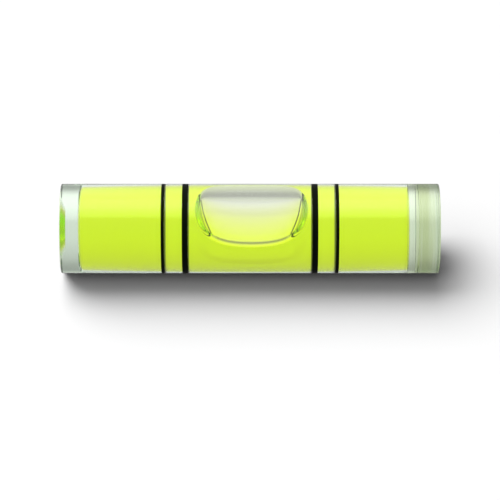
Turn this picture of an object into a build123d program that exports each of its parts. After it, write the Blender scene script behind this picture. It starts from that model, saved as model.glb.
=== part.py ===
from build123d import *
import os
from math import sqrt

# Tubular spirit level vial: a clear acrylic barrel, closed at its left end and plugged at its
# right end, filled with tinted spirit round one air bubble, with two pairs of black lines
# round the outside. The axis lies along X with the plug at +X, and +Z is the side that the
# bubble rises to. The origin is at the middle of the whole vial. Lengths are in millimetres.

# Outside of the vial
vial_diameter = 9.5
vial_length = 40.0
edge_break = 0.12

# Bore: a barrel whose side is a very long arc, so that its highest point is in the middle
side_wall = 1.35
bore_curve_radius = 1000.0
end_wall = 1.9
bore_bevel = 0.5

# Recess in the closed end: it cores the end wall to the thickness of the side wall
recess_mouth_radius = 2.35
recess_floor_radius = 1.4
recess_depth = 0.55

# Plug that closes the mouth: a flange as wide as the vial and a spigot glued in a seat
flange_thickness = 2.3
spigot_length = 0.95
seat_step = 0.2
glue_gap = 0.02
joint_break = 0.08

# Black lines: paint in shallow grooves, an inner pair as far apart as the bubble is long
# plus a little, and a thinner outer pair. Offsets go from the middle to a line's middle.
inner_line_offset = 6.85
inner_line_width = 0.62
outer_line_offset = 9.2
outer_line_width = 0.34
line_depth = 0.1

# Bubble: its top spreads along the roof of the bore, its ends and its underside are round.
# The roof falls only 0.02 over the bubble's half length, so the top is straight. A film of
# spirit lies over it, and a gap parts it from the spirit so that it can travel.
bubble_length = 12.0
bubble_depth = 4.3
bubble_rest_offset = 0.15
underside_radius = 3.1
roof_rim = 0.9
roof_reach = 0.15
roof_film = 0.15
bubble_gap = 0.05

vial_radius = vial_diameter / 2
bore_radius = vial_radius - side_wall
spigot_radius = bore_radius + seat_step
left_end = -vial_length / 2
right_end = vial_length / 2
joint_plane = right_end - flange_thickness
bore_start = left_end + end_wall
bore_stop = joint_plane - spigot_length


def barrel_radius(x, middle_radius):
    """Radius at x of a barrel that has middle_radius in the middle and the bore's long arc."""
    return middle_radius - (bore_curve_radius - sqrt(bore_curve_radius**2 - x**2))


def bore_space():
    """Barrel-shaped space of the bore, bevelled round its blind end and flat at the plug."""
    side_start = bore_start + bore_bevel
    first = (side_start, barrel_radius(side_start, bore_radius))
    last = (bore_stop, barrel_radius(bore_stop, bore_radius))
    middle = (side_start + bore_stop) / 2
    side = ThreePointArc(first, (middle, barrel_radius(middle, bore_radius)), last)
    blind_rim = (bore_start, first[1] - bore_bevel)
    rest = Polyline(last, (bore_stop, 0), (bore_start, 0), blind_rim, first)
    return revolve(make_face(side + rest), Axis.X)


def disc(start, stop, radius):
    """Plain cylinder about the X axis from start to stop."""
    return Pos((start + stop) / 2, 0, 0) * Rot(0, 90, 0) * Cylinder(radius, stop - start)


def end_edge(shape, x, radius):
    """Outer circular edge of a shape turned about X, at x."""
    rims = shape.edges().filter_by(GeomType.CIRCLE)
    return [e for e in rims if abs(e.center().X - x) < 1e-6 and abs(e.radius - radius) < 1e-6]


def end_recess():
    """Shallow tapered pocket with a flat floor, open at the closed end."""
    cone = Cone(recess_mouth_radius, recess_floor_radius, recess_depth)
    return Pos(left_end + recess_depth / 2, 0, 0) * Rot(0, 90, 0) * cone


def make_body():
    """Acrylic barrel with its bore, its seat for the plug, its recess and its grooves."""
    body = disc(left_end, joint_plane, vial_radius)
    body = chamfer(end_edge(body, left_end, vial_radius), edge_break)
    body = chamfer(end_edge(body, joint_plane, vial_radius), joint_break)
    body -= bore_space()
    body -= disc(bore_stop, joint_plane, spigot_radius)
    body -= end_recess()
    for start, stop in line_spans().values():
        body -= line_ring(start, stop)
    return body


def make_plug():
    """Flange with a spigot that stops level with the bottom of its seat."""
    plug = disc(joint_plane, right_end, vial_radius)
    plug = chamfer(end_edge(plug, right_end, vial_radius), edge_break)
    plug = chamfer(end_edge(plug, joint_plane, vial_radius), joint_break)
    return plug + disc(bore_stop, joint_plane, spigot_radius - glue_gap)


def line_spans():
    """Start and stop along X of each painted line, by name."""
    spans = {}
    for name, offset, width in (
        ("outer_line", outer_line_offset, outer_line_width),
        ("inner_line", inner_line_offset, inner_line_width),
    ):
        for side, sign in (("left", -1), ("right", 1)):
            middle = sign * offset
            spans[f"{name}_{side}"] = (middle - width / 2, middle + width / 2)
    return spans


def line_ring(start, stop):
    """Ring of paint, flush with the outside of the vial."""
    return disc(start, stop, vial_radius) - disc(start, stop, vial_radius - line_depth)


def underside(half_length, radius):
    """Round-ended roll along X, about an axis at its own middle height."""
    straight = half_length - radius
    side = Line((-straight, radius), (straight, radius))
    right = RadiusArc((straight, radius), (half_length, 0), radius)
    left = RadiusArc((-half_length, 0), (-straight, radius), radius)
    axis = Line((half_length, 0), (-half_length, 0))
    return revolve(make_face(left + side + right + axis), Axis.X)


def bubble_form(grow=0.0):
    """Part of a round-ended roll that lies inside a straight roof with round end rims."""
    half_length = bubble_length / 2 + grow
    radius = underside_radius + grow
    lowest = bore_radius - roof_film - bubble_depth - grow
    roll = Pos(0, 0, lowest + radius) * underside(half_length, radius)
    reach = half_length + roof_reach
    roof_radius = bore_radius - roof_film + grow
    roof = disc(-reach, reach, roof_radius)
    rims = end_edge(roof, -reach, roof_radius) + end_edge(roof, reach, roof_radius)
    roof = fillet(rims, roof_rim + grow)
    return Pos(bubble_rest_offset, 0, 0) * (roof & roll)


def make_liquid():
    """Spirit that fills the bore, hollow where the bubble rests under its film."""
    return bore_space() - bubble_form(bubble_gap)


def build_parts():
    parts = {
        "vial_body": make_body(),
        "end_plug": make_plug(),
        "spirit_liquid": make_liquid(),
        "air_bubble": bubble_form(),
    }
    for name, (start, stop) in line_spans().items():
        parts[name] = line_ring(start, stop)
    return parts


os.makedirs("parts", exist_ok=True)
for node, shape in build_parts().items():
    export_step(shape, f"parts/{node}.step")
    print(node, round(shape.volume, 3))
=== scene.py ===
import math

import bmesh
import bpy
import numpy as np
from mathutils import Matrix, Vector


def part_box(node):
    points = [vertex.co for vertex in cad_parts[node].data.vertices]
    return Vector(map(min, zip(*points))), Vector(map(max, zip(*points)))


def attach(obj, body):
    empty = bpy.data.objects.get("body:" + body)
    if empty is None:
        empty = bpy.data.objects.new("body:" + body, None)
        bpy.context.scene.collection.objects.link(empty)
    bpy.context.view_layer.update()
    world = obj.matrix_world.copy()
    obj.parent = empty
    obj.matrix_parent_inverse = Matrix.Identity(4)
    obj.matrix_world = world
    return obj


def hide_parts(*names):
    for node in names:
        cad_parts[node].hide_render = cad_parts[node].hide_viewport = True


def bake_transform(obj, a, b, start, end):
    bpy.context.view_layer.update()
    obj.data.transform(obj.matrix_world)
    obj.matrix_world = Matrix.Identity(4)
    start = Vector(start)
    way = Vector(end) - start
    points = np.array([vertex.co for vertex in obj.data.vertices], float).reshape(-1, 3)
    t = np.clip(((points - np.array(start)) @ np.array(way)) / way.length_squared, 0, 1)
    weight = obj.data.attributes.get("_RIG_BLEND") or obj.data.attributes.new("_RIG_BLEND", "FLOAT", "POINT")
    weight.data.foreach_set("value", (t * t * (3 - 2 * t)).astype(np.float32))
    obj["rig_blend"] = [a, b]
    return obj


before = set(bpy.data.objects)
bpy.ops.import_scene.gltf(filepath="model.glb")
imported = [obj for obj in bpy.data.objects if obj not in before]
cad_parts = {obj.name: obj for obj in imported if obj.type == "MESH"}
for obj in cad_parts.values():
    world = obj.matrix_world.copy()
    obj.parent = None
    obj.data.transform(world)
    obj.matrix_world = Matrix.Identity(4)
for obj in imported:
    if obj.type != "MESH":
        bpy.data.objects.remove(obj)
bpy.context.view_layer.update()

# Barrel of the vial. One piece of clear acrylic, cast as a rod, turned and polished outside and
# bored from its right end. The bore's side is a very long arc, so that the bubble has one place
# to rest in. The left end is left closed, with a shallow tapered recess in its face.
MM = 0.001
ACRYLIC_IOR = 1.49
SPIRIT_IOR = 1.37
GLUED = 1.0
ROUND_SEGMENTS = 256
SIDE_STEPS = 60
SHARP_ANGLE = math.radians(25)
TOUCHING = 1e-6

body_low, body_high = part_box("vial_body")
spirit_low, spirit_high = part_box("spirit_liquid")
outside_radius = body_high.z / MM
left_end = body_low.x / MM
joint_plane = body_high.x / MM
bore_start = spirit_low.x / MM
bore_stop = spirit_high.x / MM
bore_radius = spirit_high.z / MM
bore_arc_radius = 1000.0
bore_corner = 0.45
edge_round = 0.12
joint_break = 0.03
recess_mouth = 2.35
recess_floor = 1.4
recess_depth = 0.55
seat_step = 0.2
seat_radius = bore_radius + seat_step
groove_depth = 0.1
end_dullness = 0.25
hair = 0.001
LINE_NODES = ("outer_line_left", "inner_line_left", "inner_line_right", "outer_line_right")


def line_span(node):
    """Start and stop along X, in millimetres, of one painted line."""
    low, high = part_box(node)
    return low.x / MM, high.x / MM


def bore_side(x, radius=bore_radius):
    """Radius at x of a barrel with the bore's long arc."""
    return radius - (bore_arc_radius - math.sqrt(bore_arc_radius**2 - x**2))


def corner(centre, radius, start, stop, steps=8):
    """Points of a round corner in the (x, radius) plane, between two angles in degrees."""
    angles = np.radians(np.linspace(start, stop, steps + 1))
    return [(centre[0] + radius * math.cos(a), centre[1] + radius * math.sin(a)) for a in angles]


def shade(mesh):
    """Smooth faces, with a sharp edge wherever two faces meet at more than SHARP_ANGLE."""
    work = bmesh.new()
    work.from_mesh(mesh)
    for face in work.faces:
        face.smooth = True
    for edge in work.edges:
        edge.smooth = len(edge.link_faces) == 2 and edge.calc_face_angle(0.0) < SHARP_ANGLE
    work.to_mesh(mesh)
    work.free()


def new_object(name, mesh):
    piece = bpy.data.objects.new(name, mesh)
    bpy.context.scene.collection.objects.link(piece)
    return piece


def turned(name, runs):
    """Closed solid turned about X, from runs of (points, refraction) that start and end on the
    axis. Points are (x, radius) in millimetres, and refraction is the ratio across those faces."""
    profile = []
    ratios = []
    for points, ratio in runs:
        for point in points:
            if profile and math.dist(point, profile[-1]) < TOUCHING:
                continue
            profile.append(point)
            ratios.append(ratio)
    turn = np.linspace(0, 2 * math.pi, ROUND_SEGMENTS, endpoint=False)
    vertices = []
    loops = []
    for x, radius in profile:
        start = len(vertices)
        if radius < TOUCHING:
            vertices.append((x * MM, 0.0, 0.0))
            loops.append([start] * ROUND_SEGMENTS)
        else:
            vertices += [(x * MM, radius * math.cos(a) * MM, radius * math.sin(a) * MM)
                         for a in turn]
            loops.append(list(range(start, start + ROUND_SEGMENTS)))
    faces = []
    face_ratios = []
    for first, second, ratio in zip(loops, loops[1:], ratios[1:]):
        for k in range(ROUND_SEGMENTS):
            after = (k + 1) % ROUND_SEGMENTS
            ring = dict.fromkeys((first[k], first[after], second[after], second[k]))
            faces.append(tuple(ring))
            face_ratios.append(ratio)
    mesh = bpy.data.meshes.new(name)
    mesh.from_pydata(vertices, [], faces)
    mesh.attributes.new("refraction", "FLOAT", "FACE").data.foreach_set("value", face_ratios)
    work = bmesh.new()
    work.from_mesh(mesh)
    bmesh.ops.recalc_face_normals(work, faces=work.faces)
    work.to_mesh(mesh)
    work.free()
    shade(mesh)
    return mesh


def linear(hex_colour):
    """Linear RGBA of an sRGB hex colour."""
    shares = [int(hex_colour[i:i + 2], 16) / 255 for i in (1, 3, 5)]
    return [s / 12.92 if s <= 0.04045 else ((s + 0.055) / 1.055) ** 2.4 for s in shares] + [1.0]


def add_node(tree, kind, settings=None, values=None, links=None):
    """New node with its settings, its inputs' values and links into its inputs."""
    node = tree.nodes.new(kind)
    for key, value in (settings or {}).items():
        setattr(node, key, value)
    for key, value in (values or {}).items():
        node.inputs[key].default_value = value
    for key, socket in (links or {}).items():
        tree.links.new(socket, node.inputs[key])
    return node


def new_material(name):
    """Material with an empty node tree, and that tree."""
    material = bpy.data.materials.new(name)
    material.use_nodes = True
    material.node_tree.nodes.clear()
    return material, material.node_tree


# Clear cast acrylic, polished: it bends light as acrylic does against air, less so against the
# spirit, and not at all where it is glued or painted. Thick stretches look faintly green.
wave_length = 2.0
acrylic_tint = {"Color": linear("#8deb72"), "Density": 30.0}
acrylic, tree = new_material("clear acrylic, polished")
place = add_node(tree, "ShaderNodeTexCoord")
across = add_node(tree, "ShaderNodeAttribute", {"attribute_name": "refraction"})
dull = add_node(tree, "ShaderNodeAttribute", {"attribute_name": "dull"})
# Polishing leaves soft waves some 2 mm long, too shallow to see but in reflections
waves = add_node(tree, "ShaderNodeTexNoise",
                 values={"Scale": 1 / (wave_length * MM), "Detail": 2.0},
                 links={"Vector": place.outputs["Object"]})
skin = add_node(tree, "ShaderNodeBump", values={"Strength": 0.02, "Distance": 0.00002},
                links={"Height": waves.outputs["Fac"]})
shader = add_node(tree, "ShaderNodeBsdfPrincipled",
                  values={"Base Color": linear("#ffffff"), "IOR": ACRYLIC_IOR,
                          "Transmission Weight": 1.0},
                  links={"IOR": across.outputs["Fac"], "Roughness": dull.outputs["Fac"],
                         "Normal": skin.outputs["Normal"]})
tint = add_node(tree, "ShaderNodeVolumeAbsorption", values=acrylic_tint)
add_node(tree, "ShaderNodeOutputMaterial",
         links={"Surface": shader.outputs["BSDF"], "Volume": tint.outputs["Volume"]})

rounded_end = corner((left_end + edge_round, outside_radius - edge_round), edge_round, 180, 90)
corner_start = bore_start + bore_corner
bore_points = [(x, bore_side(x)) for x in np.linspace(bore_stop, corner_start, SIDE_STEPS)]
blind_corner = corner((corner_start, bore_side(bore_start) - bore_corner), bore_corner, 90, 180)
recess_end = left_end + recess_depth
barrel_runs = [
    ([(recess_end, 0.0), (recess_end, recess_floor), (left_end, recess_mouth)], ACRYLIC_IOR),
    (rounded_end, ACRYLIC_IOR),
]
groove = outside_radius - groove_depth
for node in LINE_NODES:
    start, stop = line_span(node)
    barrel_runs.append(([(start, outside_radius)], ACRYLIC_IOR))
    barrel_runs.append(([(start, groove), (stop, groove), (stop, outside_radius)], GLUED))
barrel_runs += [
    ([(joint_plane - joint_break, outside_radius), (joint_plane, outside_radius - joint_break)],
     ACRYLIC_IOR),
    ([(joint_plane, seat_radius), (bore_stop, seat_radius), (bore_stop, bore_side(bore_stop))],
     GLUED),
    (bore_points + blind_corner + [(bore_start, 0.0)], ACRYLIC_IOR / SPIRIT_IOR),
]
barrel_mesh = turned("acrylic_barrel", barrel_runs)
# The closed end's face and its recess are left as cut, so they are a little dull
dullness = []
for face in barrel_mesh.polygons:
    x, y, z = face.center / MM
    in_recess = x < recess_end + hair and math.hypot(y, z) < recess_mouth
    on_end_face = x < left_end + hair
    dullness.append(end_dullness if in_recess or on_end_face else 0.0)
barrel_mesh.attributes.new("dull", "FLOAT", "FACE").data.foreach_set("value", dullness)
barrel = new_object("acrylic_barrel", barrel_mesh)
barrel.data.materials.append(acrylic)
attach(barrel, "vial")
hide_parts("vial_body")


# End plug. A turned acrylic flange with a spigot that is glued into the seat of the barrel. Its
# skin keeps the lathe's marks, so it looks a little frosted beside the polished barrel.
right_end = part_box("end_plug")[1].x / MM
glue_line = 0.01
glue_gap = 0.02
spigot_radius = seat_radius - glue_gap
feed = 0.25
streak_reach = 0.9
FLANGE_COLOURS = (
    (0.26, "#fdfdf2"), (0.36, "#dfe3b9"), (0.68, "#dfe3b9"), (0.8, "#fafbec"), (0.94, "#fafbec"),
)

turned_acrylic, tree = new_material("clear acrylic, as turned")
place = add_node(tree, "ShaderNodeTexCoord")
across = add_node(tree, "ShaderNodeAttribute", {"attribute_name": "refraction"})
# Feed marks 0.25 mm apart run round the plug
stretch = add_node(tree, "ShaderNodeMapping", values={"Scale": (1 / (feed * MM), 60.0, 60.0)},
                   links={"Vector": place.outputs["Object"]})
marks = add_node(tree, "ShaderNodeTexNoise", values={"Scale": 1.0, "Detail": 3.0},
                 links={"Vector": stretch.outputs["Vector"]})
haze = add_node(tree, "ShaderNodeMapRange", values={"To Min": 0.12, "To Max": 0.32},
                links={"Value": marks.outputs["Fac"]})
# The flange's colour is painted greener in a band next to the joint, and darker at its right-hand edge
where = add_node(tree, "ShaderNodeSeparateXYZ", links={"Vector": place.outputs["Object"]})
streaks = add_node(tree, "ShaderNodeMapRange",
                   values={"To Min": -streak_reach * MM, "To Max": streak_reach * MM},
                   links={"Value": marks.outputs["Fac"]})
streaked = add_node(tree, "ShaderNodeMath", {"operation": "ADD"},
                    links={0: where.outputs["X"], 1: streaks.outputs["Result"]})
depth = add_node(tree, "ShaderNodeMapRange",
                 values={"From Min": bore_stop * MM, "From Max": right_end * MM},
                 links={"Value": streaked.outputs["Value"]})
flange_colour = add_node(tree, "ShaderNodeValToRGB", links={"Fac": depth.outputs["Result"]})
flange_colour.color_ramp.elements[0].color = linear("#fdfdf2")
flange_colour.color_ramp.elements[1].color = linear("#a9b58f")
for position, colour in FLANGE_COLOURS:
    flange_colour.color_ramp.elements.new(position).color = linear(colour)
skin = add_node(tree, "ShaderNodeBump", values={"Strength": 0.3, "Distance": 0.00002},
                links={"Height": marks.outputs["Fac"]})
shader = add_node(tree, "ShaderNodeBsdfPrincipled",
                  values={"IOR": ACRYLIC_IOR, "Transmission Weight": 1.0},
                  links={"IOR": across.outputs["Fac"], "Roughness": haze.outputs["Result"],
                         "Base Color": flange_colour.outputs["Color"], "Normal": skin.outputs["Normal"]})
tint = add_node(tree, "ShaderNodeVolumeAbsorption", values=acrylic_tint)
add_node(tree, "ShaderNodeOutputMaterial",
         links={"Surface": shader.outputs["BSDF"], "Volume": tint.outputs["Volume"]})

flange_start = joint_plane + glue_line
plug_runs = [
    ([(bore_stop, 0.0), (bore_stop, spigot_radius)], ACRYLIC_IOR / SPIRIT_IOR),
    ([(flange_start, spigot_radius), (flange_start, outside_radius - joint_break)], GLUED),
    ([(flange_start + joint_break, outside_radius)], ACRYLIC_IOR),
    (corner((right_end - edge_round, outside_radius - edge_round), edge_round, 90, 0), ACRYLIC_IOR),
    ([(right_end, 0.0)], ACRYLIC_IOR),
]
plug = new_object("plug", turned("plug", plug_runs))
plug.data.materials.append(turned_acrylic)
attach(plug, "vial")
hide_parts("end_plug")


# Reading lines. Black paint wiped into four shallow grooves that are turned round the barrel,
# and left flush with it. The inner pair is wider than the outer pair.
line_clearance = 0.003
specks_a_metre = 9000.0
line_paint, tree = new_material("black paint, satin")
place = add_node(tree, "ShaderNodeTexCoord")
# Wiped paint has fine specks of wear about 0.1 mm across
specks = add_node(tree, "ShaderNodeTexNoise", values={"Scale": specks_a_metre, "Detail": 3.0},
                  links={"Vector": place.outputs["Object"]})
wear = add_node(tree, "ShaderNodeMapRange", values={"To Min": 0.4, "To Max": 0.6},
                links={"Value": specks.outputs["Fac"]})
shade_of_black = add_node(tree, "ShaderNodeValToRGB", links={"Fac": specks.outputs["Fac"]})
shade_of_black.color_ramp.elements[0].color = linear("#050803")
shade_of_black.color_ramp.elements[1].color = linear("#0a0f07")
grain = add_node(tree, "ShaderNodeBump", values={"Strength": 0.1, "Distance": 0.00001},
                 links={"Height": specks.outputs["Fac"]})
shader = add_node(tree, "ShaderNodeBsdfPrincipled", values={"Specular IOR Level": 0.02},
                  links={"Base Color": shade_of_black.outputs["Color"],
                         "Roughness": wear.outputs["Result"], "Normal": grain.outputs["Normal"]})
add_node(tree, "ShaderNodeOutputMaterial", links={"Surface": shader.outputs["BSDF"]})


def ring_tree(material):
    """Geometry nodes that make one ring of paint about X, with inputs for its sizes in metres."""
    group = bpy.data.node_groups.new("ring of paint", "GeometryNodeTree")
    sockets = {}
    for name in ("Start", "Stop", "Radius", "Depth"):
        item = group.interface.new_socket(name, in_out="INPUT", socket_type="NodeSocketFloat")
        sockets[name] = item.identifier
    group.interface.new_socket("Geometry", in_out="OUTPUT", socket_type="NodeSocketGeometry")
    given = add_node(group, "NodeGroupInput")

    def math_node(operation, first, second):
        node = add_node(group, "ShaderNodeMath", {"operation": operation}, links={0: first})
        if isinstance(second, float):
            node.inputs[1].default_value = second
        else:
            group.links.new(second, node.inputs[1])
        return node.outputs[0]

    width = math_node("SUBTRACT", given.outputs["Stop"], given.outputs["Start"])
    both_ends = math_node("ADD", given.outputs["Start"], given.outputs["Stop"])
    middle = math_node("MULTIPLY", both_ends, 0.5)
    half_depth = math_node("MULTIPLY", given.outputs["Depth"], 0.5)
    path_radius = math_node("SUBTRACT", given.outputs["Radius"], half_depth)
    path = add_node(group, "GeometryNodeCurvePrimitiveCircle",
                    values={"Resolution": ROUND_SEGMENTS}, links={"Radius": path_radius})
    section = add_node(group, "GeometryNodeCurvePrimitiveQuadrilateral",
                       links={"Width": given.outputs["Depth"], "Height": width})
    ring = add_node(group, "GeometryNodeCurveToMesh",
                    links={"Curve": path.outputs["Curve"],
                           "Profile Curve": section.outputs["Curve"]})
    offset = add_node(group, "ShaderNodeCombineXYZ", links={"X": middle})
    placed = add_node(group, "GeometryNodeTransform", values={"Rotation": (0.0, math.pi / 2, 0.0)},
                      links={"Geometry": ring.outputs["Mesh"],
                             "Translation": offset.outputs["Vector"]})
    whole = add_node(group, "GeometryNodeRealizeInstances",
                     links={"Geometry": placed.outputs["Geometry"]})
    painted = add_node(group, "GeometryNodeSetMaterial", values={"Material": material},
                       links={"Geometry": whole.outputs["Geometry"]})
    add_node(group, "NodeGroupOutput", links={"Geometry": painted.outputs["Geometry"]})
    return group, sockets


def made_by(group, sockets, name, values):
    """Plain mesh object that a geometry node tree gives for these values."""
    maker = new_object(name + "_maker", bpy.data.meshes.new(name + "_maker"))
    modifier = maker.modifiers.new("maker", "NODES")
    modifier.node_group = group
    for key, value in values.items():
        modifier[sockets[key]] = value
    bpy.context.view_layer.update()
    seen = maker.evaluated_get(bpy.context.evaluated_depsgraph_get())
    mesh = bpy.data.meshes.new_from_object(seen)
    mesh.name = name
    bpy.data.objects.remove(maker)
    work = bmesh.new()
    work.from_mesh(mesh)
    bmesh.ops.recalc_face_normals(work, faces=work.faces)
    work.to_mesh(mesh)
    work.free()
    shade(mesh)
    return new_object(name, mesh)


line_group, line_sockets = ring_tree(line_paint)
for node in LINE_NODES:
    start, stop = line_span(node)
    line = made_by(line_group, line_sockets, "painted_" + node, {
        "Start": (start + line_clearance) * MM,
        "Stop": (stop - line_clearance) * MM,
        "Radius": outside_radius * MM,
        "Depth": (groove_depth - line_clearance) * MM,
    })
    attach(line, "vial")
    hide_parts(node)


# Spirit. A thin tinted spirit fills the bore and wets its wall, and holds the bubble against
# the roof. Its surface round the bubble is drawn tight by surface tension and pressed flat by
# the lift, so its form is found by letting a ball of the right volume settle under both.
bubble_volume = 245.0
capillary_length = 1.9
film = 0.05
ball_halvings = 5
ball_half_sizes = (6.0, 2.7, 1.6)
ball_centre = (0.0, 0.0, 1.2)
settle_steps = 3000
settle_pace = 0.012
longest_step = 0.03
catch_up = 0.5
evening = 0.1
bubble_length_share = 0.792
bubble_rest = 0.15
on_wall = 0.001
spirit_clearance = 0.003


def ball(halvings):
    """Vertices and triangles of a unit ball made by halving the edges of an icosahedron."""
    work = bmesh.new()
    bmesh.ops.create_icosphere(work, subdivisions=halvings, radius=1.0)
    vertices = np.array([v.co for v in work.verts])
    triangles = np.array([[v.index for v in f.verts] for f in work.faces])
    work.free()
    return vertices, triangles


def settled_bubble():
    """Vertices, in millimetres, and triangles of the bubble at rest under the roof's middle."""
    points, triangles = ball(ball_halvings)
    points = points * ball_half_sizes + ball_centre
    count = len(points)
    a, b, c = triangles.T
    edges = np.sort(np.vstack([triangles[:, :2], triangles[:, 1:], triangles[:, ::2]]), 1)
    edges = np.unique(edges, axis=0)
    neighbours = np.bincount(edges.ravel(), minlength=count)[:, None]

    def gather(at_a, at_b, at_c):
        """Sum for each vertex of what its triangles give it."""
        total = np.zeros((count, 3))
        for k in range(3):
            total[:, k] = (np.bincount(a, at_a[:, k], count) + np.bincount(b, at_b[:, k], count)
                           + np.bincount(c, at_c[:, k], count))
        return total

    def volume():
        return np.einsum("ij,ij->i", points[a], np.cross(points[b], points[c])).sum() / 6

    def wall():
        sag = bore_arc_radius - np.sqrt(bore_arc_radius**2 - points[:, 0]**2)
        return bore_radius - film - sag

    points = points * (bubble_volume / volume()) ** (1 / 3)
    for _ in range(settle_steps):
        pa, pb, pc = points[a], points[b], points[c]
        double_area = np.cross(pb - pa, pc - pa)
        facing = double_area / np.linalg.norm(double_area, axis=1, keepdims=True)
        tension = gather(np.cross(facing, pc - pb) / 2, np.cross(facing, pa - pc) / 2,
                         np.cross(facing, pb - pa) / 2)
        outward = gather(double_area / 6, double_area / 6, double_area / 6)
        area = np.linalg.norm(outward, axis=1, keepdims=True)
        drive = points[:, 2:3] / capillary_length**2 * outward - tension
        free = np.hypot(points[:, 1], points[:, 2]) < wall() - on_wall
        give = (outward[free]**2 / area[free]).sum()
        pressure = -(drive[free] * outward[free] / area[free]).sum() / give
        pressure += (bubble_volume - volume()) / give * catch_up / settle_pace
        normal = outward / area
        step = (drive + pressure * outward) / area
        step = normal * (step * normal).sum(1, keepdims=True) * settle_pace
        size = np.linalg.norm(step, axis=1, keepdims=True)
        step *= np.minimum(1, longest_step / np.maximum(size, 1e-9))
        mean = np.zeros((count, 3))
        for k in range(3):
            mean[:, k] = (np.bincount(edges[:, 0], points[edges[:, 1], k], count)
                          + np.bincount(edges[:, 1], points[edges[:, 0], k], count))
        slide = mean / neighbours - points
        slide -= normal * (slide * normal).sum(1, keepdims=True)
        points = points + step + evening * slide
        reach = np.hypot(points[:, 1], points[:, 2])
        past = reach > wall()
        points[past, 1:] *= (wall()[past] / reach[past])[:, None]
    # The real bubble is shorter for its width than the settled one, so its length is drawn in
    points = points * (bubble_length_share, 1.0, 1.0) + (bubble_rest, 0.0, 0.0)
    return points, triangles


def bubble_mesh(name, points, triangles):
    """Closed mesh of the bubble, smoothed by dividing its faces once."""
    mesh = bpy.data.meshes.new(name)
    faces = [tuple(map(int, triangle)) for triangle in triangles]
    mesh.from_pydata([tuple(p * MM) for p in points], [], faces)
    maker = new_object(name, mesh)
    smoother = maker.modifiers.new("smoother", "SUBSURF")
    smoother.levels = 1
    bpy.context.view_layer.update()
    seen = maker.evaluated_get(bpy.context.evaluated_depsgraph_get())
    smooth_mesh = bpy.data.meshes.new_from_object(seen)
    bpy.data.objects.remove(maker)
    return smooth_mesh


bubble_points, bubble_triangles = settled_bubble()
hollow = bubble_mesh("hollow", bubble_points, bubble_triangles)

# Yellow-green spirit: it takes out nearly all the blue within a few millimetres. Its dye fluoresces, which
# is
# painted glow here: an emission in the spirit shines green whatever light reaches it, so long stretches glow
# green
spirit, tree = new_material("tinted spirit, clear")
place = add_node(tree, "ShaderNodeTexCoord")
across = add_node(tree, "ShaderNodeAttribute", {"attribute_name": "refraction"})
stir = add_node(tree, "ShaderNodeTexNoise", values={"Scale": 300.0, "Detail": 1.0},
                links={"Vector": place.outputs["Object"]})
skin = add_node(tree, "ShaderNodeBump", values={"Strength": 0.01, "Distance": 0.00002},
                links={"Height": stir.outputs["Fac"]})
shader = add_node(tree, "ShaderNodeBsdfPrincipled",
                  values={"Base Color": linear("#ffffff"), "Roughness": 0.0, "IOR": SPIRIT_IOR,
                          "Transmission Weight": 1.0},
                  links={"IOR": across.outputs["Fac"], "Normal": skin.outputs["Normal"]})
tint = add_node(tree, "ShaderNodeVolumeAbsorption",
                values={"Color": linear("#f7fd1e"), "Density": 760.0})
# Painted glow: this emission makes the spirit shine green on its own, whatever light reaches it
painted_glow = add_node(tree, "ShaderNodeEmission", values={"Color": linear("#e3ff00"), "Strength": 26.0})
tint_and_painted_glow = add_node(tree, "ShaderNodeAddShader",
               links={0: tint.outputs["Volume"], 1: painted_glow.outputs["Emission"]})
add_node(tree, "ShaderNodeOutputMaterial",
         links={"Surface": shader.outputs["BSDF"], "Volume": tint_and_painted_glow.outputs["Shader"]})

spirit_start = bore_start + spirit_clearance
spirit_stop = bore_stop - spirit_clearance
spirit_radius = bore_radius - spirit_clearance
side_start = spirit_start + bore_corner
side = [(x, bore_side(x, spirit_radius)) for x in np.linspace(side_start, spirit_stop, SIDE_STEPS)]
low_corner = corner((side_start, bore_side(spirit_start, spirit_radius) - bore_corner),
                    bore_corner, 180, 90)
outline = [(spirit_start, 0.0)] + low_corner + side + [(spirit_stop, 0.0)]
outer_mesh = turned("spirit", [(outline, GLUED)])
work = bmesh.new()
work.from_mesh(outer_mesh)
ratio_layer = work.faces.layers.float["refraction"]
outer_vertices = len(work.verts)
outer_faces = len(work.faces)
work.from_mesh(hollow)
work.faces.ensure_lookup_table()
hollow_faces = work.faces[outer_faces:]
bmesh.ops.reverse_faces(work, faces=hollow_faces)
for face in hollow_faces:
    face[ratio_layer] = SPIRIT_IOR
    face.smooth = True
work.to_mesh(outer_mesh)
work.free()
liquid = new_object("spirit", outer_mesh)
liquid.data.materials.append(spirit)
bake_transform(liquid, "vial", "bubble", start=(0.0, 0.0, 0.0), end=(0.0, 0.0, MM))
# The hollow goes with the bubble, and the outside of the spirit stays with the vial
share = np.zeros(len(liquid.data.vertices), np.float32)
share[outer_vertices:] = 1.0
liquid.data.attributes["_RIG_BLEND"].data.foreach_set("value", share)
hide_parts("spirit_liquid")


# Air in the bubble. It fills the hollow in the spirit and travels with it. Air neither bends
# light nor tints it, and the bright and dark lines round the bubble come from the spirit.
air_inset = 0.06
air_material, tree = new_material("air")
place = add_node(tree, "ShaderNodeTexCoord")
faint = add_node(tree, "ShaderNodeTexNoise", values={"Scale": 300.0, "Detail": 0.0},
                 links={"Vector": place.outputs["Object"]})
hue = add_node(tree, "ShaderNodeValToRGB", links={"Fac": faint.outputs["Fac"]})
hue.color_ramp.elements[0].color = linear("#fefefe")
hue.color_ramp.elements[1].color = linear("#ffffff")
shader = add_node(tree, "ShaderNodeBsdfPrincipled",
                  values={"Roughness": 0.0, "IOR": 1.0, "Transmission Weight": 1.0},
                  links={"Base Color": hue.outputs["Color"]})
add_node(tree, "ShaderNodeOutputMaterial", links={"Surface": shader.outputs["BSDF"]})

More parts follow.
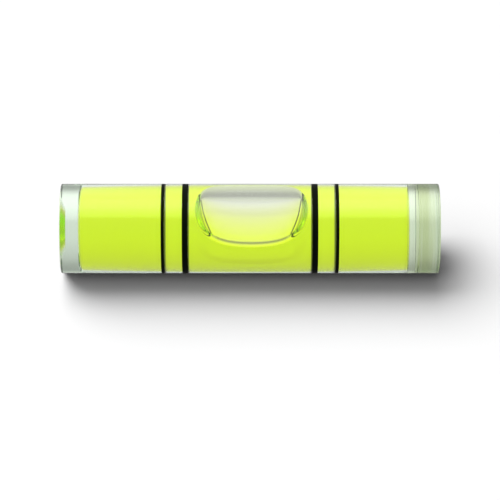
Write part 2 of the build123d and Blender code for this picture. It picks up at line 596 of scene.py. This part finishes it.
air_mesh = bubble_mesh("air", bubble_points, bubble_triangles)
work = bmesh.new()
work.from_mesh(air_mesh)
work.normal_update()
for vertex in work.verts:
    vertex.co -= vertex.normal * air_inset * MM
work.to_mesh(air_mesh)
work.free()
shade(air_mesh)
air = new_object("air", air_mesh)
air.data.materials.append(air_material)
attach(air, "bubble")
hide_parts("air_bubble")


# Floor. Plain white paper under the vial, which keeps its shadow. What is seen in or through
# the acrylic is the room, so the paper is clear to those rays.
floor_reach = 4.0
floor_height = body_low.z
paper, tree = new_material("white paper")
rays = add_node(tree, "ShaderNodeLightPath")
through = add_node(tree, "ShaderNodeMath", {"operation": "MAXIMUM"},
                   links={0: rays.outputs["Is Transmission Ray"], 1: rays.outputs["Is Glossy Ray"]})
sheet = add_node(tree, "ShaderNodeBsdfDiffuse", values={"Color": linear("#f0f0f0")})
clear = add_node(tree, "ShaderNodeBsdfTransparent")
either = add_node(tree, "ShaderNodeMixShader",
                  links={"Fac": through.outputs["Value"], 1: sheet.outputs["BSDF"],
                         2: clear.outputs["BSDF"]})
add_node(tree, "ShaderNodeOutputMaterial", links={"Surface": either.outputs["Shader"]})
floor_mesh = bpy.data.meshes.new("floor")
floor_corners = [(x * floor_reach, y * floor_reach, floor_height)
                 for x, y in ((-1, -1), (1, -1), (1, 1), (-1, 1))]
floor_mesh.from_pydata(floor_corners, [], [(0, 1, 2, 3)])
floor = new_object("floor", floor_mesh)
floor.data.materials.append(paper)


# Room. A light tent: the brightness that the acrylic passes on and mirrors depends on the angle
# round the vial's axis, from 0 at the horizon behind it, over 90 at the zenith, to 180 in front.
# The dark stops of both ramps below the vial, near -100 degrees, are painted shadow: the vial's own shadow
# on the paper, which these rays pass through
SEEN_THROUGH = (
    (-180, 0.56), (-135, 0.47), (-112, 0.6), (-100, 0.3), (-89, 0.45), (-81, 0.75), (-75, 0.98),
    (-70, 1.05), (-60, 1.02), (-50, 0.95), (-46, 0.89), (-44.5, 0.78), (-31, 0.76), (-24, 0.7),
    (-16, 0.63), (-9, 0.56), (-3, 0.47), (3, 0.4), (9, 0.37), (20, 0.37), (30, 0.6), (45, 1.2),
    (66, 2.0), (85, 2.2), (110, 1.2), (125, 0.7), (180, 0.56),
)
MIRRORED = (
    (-180, 0.75), (-135, 0.62), (-112, 0.42), (-100, 0.3), (-80, 0.2), (-60, 0.3), (-40, 0.2),
    (-22, 0.35), (-9, 0.6), (0, 0.65), (10, 0.6), (22, 0.8), (33, 1.6), (45, 2.1), (56, 2.3),
    (66, 3.2), (85, 3.3), (93, 2.5), (101, 2.1), (110, 1.6), (117, 0.95), (125, 0.9), (141, 0.9),
    (156, 0.8), (180, 0.75),
)
end_walls = 0.5
end_walls_from = 0.55
end_walls_to = 0.85
even_light = 0.1
room = bpy.data.worlds.new("light tent")
bpy.context.scene.world = room
room.use_nodes = True
tree = room.node_tree
tree.nodes.clear()
rays = add_node(tree, "ShaderNodeLightPath")
direction = add_node(tree, "ShaderNodeTexCoord")
parts = add_node(tree, "ShaderNodeSeparateXYZ", links={"Vector": direction.outputs["Generated"]})
angle = add_node(tree, "ShaderNodeMath", {"operation": "ARCTAN2"},
                 links={0: parts.outputs["Z"], 1: parts.outputs["Y"]})
turn = add_node(tree, "ShaderNodeMapRange", values={"From Min": -math.pi, "From Max": math.pi},
                links={"Value": angle.outputs["Value"]})


def tent(stops):
    """Colour ramp of the tent's brightness against the angle in degrees."""
    ramp = add_node(tree, "ShaderNodeValToRGB", links={"Fac": turn.outputs["Result"]})
    elements = ramp.color_ramp.elements
    elements.remove(elements[-1])
    for index, (degrees, level) in enumerate(stops):
        element = elements[0] if index == 0 else elements.new((degrees + 180) / 360)
        element.position = (degrees + 180) / 360
        element.color = (level, level, level, 1.0)
    return ramp


seen = tent(SEEN_THROUGH)
mirrored = tent(MIRRORED)
passed = add_node(tree, "ShaderNodeMixRGB",
                  links={"Fac": rays.outputs["Is Transmission Ray"],
                         "Color1": mirrored.outputs["Color"], "Color2": seen.outputs["Color"]})
# Along the vial's axis the angle says nothing, so there the tent's end walls take over
along = add_node(tree, "ShaderNodeMath", {"operation": "ABSOLUTE"}, links={0: parts.outputs["X"]})
endwards = add_node(tree, "ShaderNodeMapRange", {"interpolation_type": "SMOOTHSTEP"},
                    values={"From Min": end_walls_from, "From Max": end_walls_to},
                    links={"Value": along.outputs["Value"]})
walled = add_node(tree, "ShaderNodeMixRGB",
                  values={"Color2": (end_walls, end_walls, end_walls, 1.0)},
                  links={"Fac": endwards.outputs["Result"], "Color1": passed.outputs["Color"]})
# Paper and paint get a little even light from the room, and the camera sees it plain white
glass_room = add_node(tree, "ShaderNodeBackground", links={"Color": walled.outputs["Color"]})
plain_room = add_node(tree, "ShaderNodeBackground",
                      values={"Color": linear("#ffffff"), "Strength": even_light})
white_room = add_node(tree, "ShaderNodeBackground",
                      values={"Color": linear("#ffffff"), "Strength": 1.0})
glass_rays = add_node(tree, "ShaderNodeMath", {"operation": "MAXIMUM"},
                      links={0: rays.outputs["Is Transmission Ray"],
                             1: rays.outputs["Is Glossy Ray"]})
inner_mix = add_node(tree, "ShaderNodeMixShader",
                     links={"Fac": glass_rays.outputs["Value"],
                            1: plain_room.outputs["Background"],
                            2: glass_room.outputs["Background"]})
outer_mix = add_node(tree, "ShaderNodeMixShader",
                     links={"Fac": rays.outputs["Is Camera Ray"], 1: inner_mix.outputs["Shader"],
                            2: white_room.outputs["Background"]})
add_node(tree, "ShaderNodeOutputWorld", links={"Surface": outer_mix.outputs["Shader"]})

# Lamps. A large soft key lamp behind the vial on its left gives the shadow on the paper, and a
# weaker one in front on the left lightens that shadow and shades the paper behind. Only paper
# and paint see them. Each has its azimuth, elevation and width in degrees, and its power.
LAMPS = (("key", 135, 53, 60, 3.5), ("front", 210, 37, 60, 1.1))
for name, azimuth, elevation, width, power in LAMPS:
    lamp = bpy.data.lights.new(name, "SUN")
    lamp.angle = math.radians(width)
    lamp.energy = power
    holder = bpy.data.objects.new(name, lamp)
    bpy.context.scene.collection.objects.link(holder)
    azimuth, elevation = math.radians(azimuth), math.radians(elevation)
    towards = Vector((math.cos(elevation) * math.cos(azimuth),
                      math.cos(elevation) * math.sin(azimuth), math.sin(elevation)))
    holder.rotation_euler = towards.to_track_quat("Z", "Y").to_euler()
    holder.visible_camera = False
    holder.visible_glossy = False
    holder.visible_transmission = False

# Camera. Straight in front of the middle of the vial, and looking down on it through a long lens
camera_elevation = math.radians(38.5)
camera_distance = 0.33
view_angle = math.radians(9.2)
lens = bpy.data.cameras.new("camera")
lens.angle = view_angle
lens.shift_y = -0.043
lens.clip_start = 0.01
lens.clip_end = 50.0
camera = bpy.data.objects.new("camera", lens)
bpy.context.scene.collection.objects.link(camera)
camera.location = (0.0, -camera_distance * math.cos(camera_elevation),
                   camera_distance * math.sin(camera_elevation))
camera.rotation_euler = (math.pi / 2 - camera_elevation, 0.0, 0.0)
bpy.context.scene.camera = camera

scene = bpy.context.scene
scene.view_settings.view_transform = "Standard"
scene.cycles.max_bounces = 32
scene.cycles.transmission_bounces = 28
scene.cycles.glossy_bounces = 12
scene.cycles.transparent_max_bounces = 16
scene.cycles.caustics_refractive = False
scene.cycles.caustics_reflective = False
